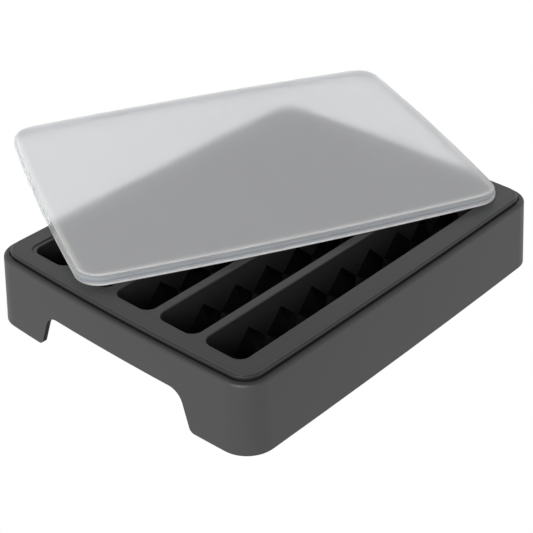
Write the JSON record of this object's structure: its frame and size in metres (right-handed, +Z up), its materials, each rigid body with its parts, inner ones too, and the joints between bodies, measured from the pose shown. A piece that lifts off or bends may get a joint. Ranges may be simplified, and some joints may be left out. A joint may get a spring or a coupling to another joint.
{
  "type": "ice cube tray",
  "caption": "Ice stick tray: a soft mould with faceted troughs in a drafted open-bottomed stand with finger gaps, and a translucent stepped lid lying askew on its rim.",
  "frame": {"origin": "centre of the stand's foot, on the surface the tray stands on", "axes": "+X along the tray's long sides and its troughs, away from the finger gap that the picture shows; +Y across the troughs, to the side the lid reaches over; +Z up"},
  "size_m": [0.2505, 0.233, 0.04],
  "materials": {
    "stand": "fine matte texture, charcoal",
    "mould": "smooth matte silicone, charcoal",
    "lid": "frosted, translucent and colourless"
  },
  "bodies": {
    "root": {"base_stand": "stand", "ice_mould": "mould", "lid": "lid"}
  },
  "joints": []
}
